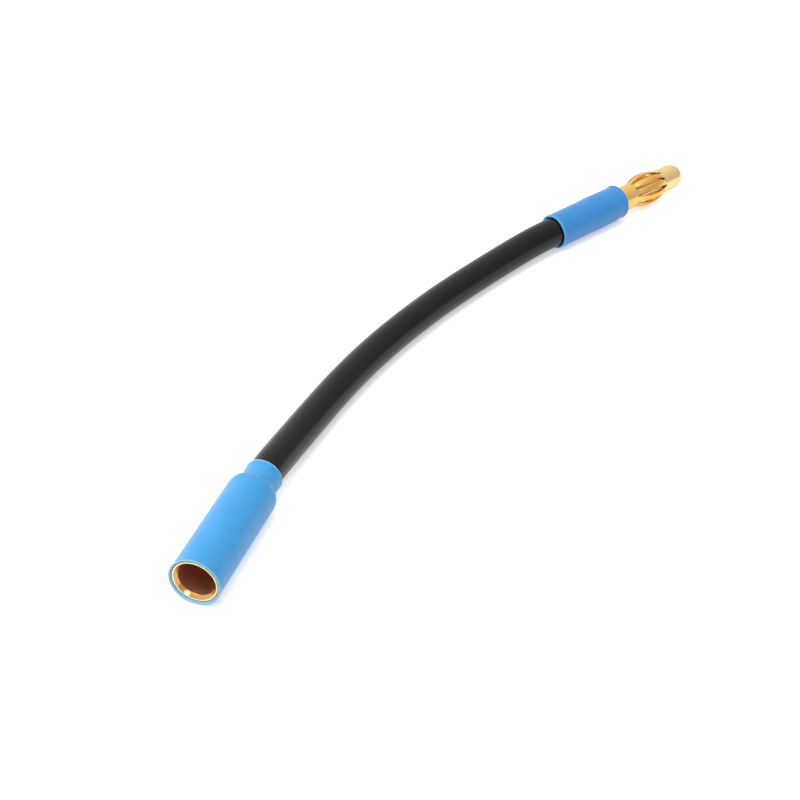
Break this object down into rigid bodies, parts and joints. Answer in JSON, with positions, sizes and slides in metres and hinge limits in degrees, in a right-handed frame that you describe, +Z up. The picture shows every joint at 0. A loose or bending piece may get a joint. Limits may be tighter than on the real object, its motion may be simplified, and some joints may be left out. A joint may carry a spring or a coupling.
{
  "type": "round crimp connector extension lead",
  "caption": "Short black cable with a round gold crimp socket at one end and a gold lantern-spring plug at the other, each crimp covered by a blue shrink sleeve.",
  "frame": {"origin": "on the table, under the middle of the box round the two connectors", "axes": "+X along the lead from the socket to the plug, +Z up from the table"},
  "size_m": [0.1071, 0.0148, 0.0058],
  "materials": {
    "gold_plate": "gold plated, polished",
    "gold_spring": "gold plated, bright",
    "blue_sleeve": "satin shrink tube",
    "black_jacket": "smooth, glossy",
    "copper": "bare strands"
  },
  "bodies": {
    "root": {"socket_barrel": "gold_plate", "socket_sleeve": "blue_sleeve", "plug_body": "gold_plate", "spring_cage": "gold_spring", "plug_sleeve": "blue_sleeve", "cable_jacket": "black_jacket", "conductor": "copper"}
  },
  "joints": []
}
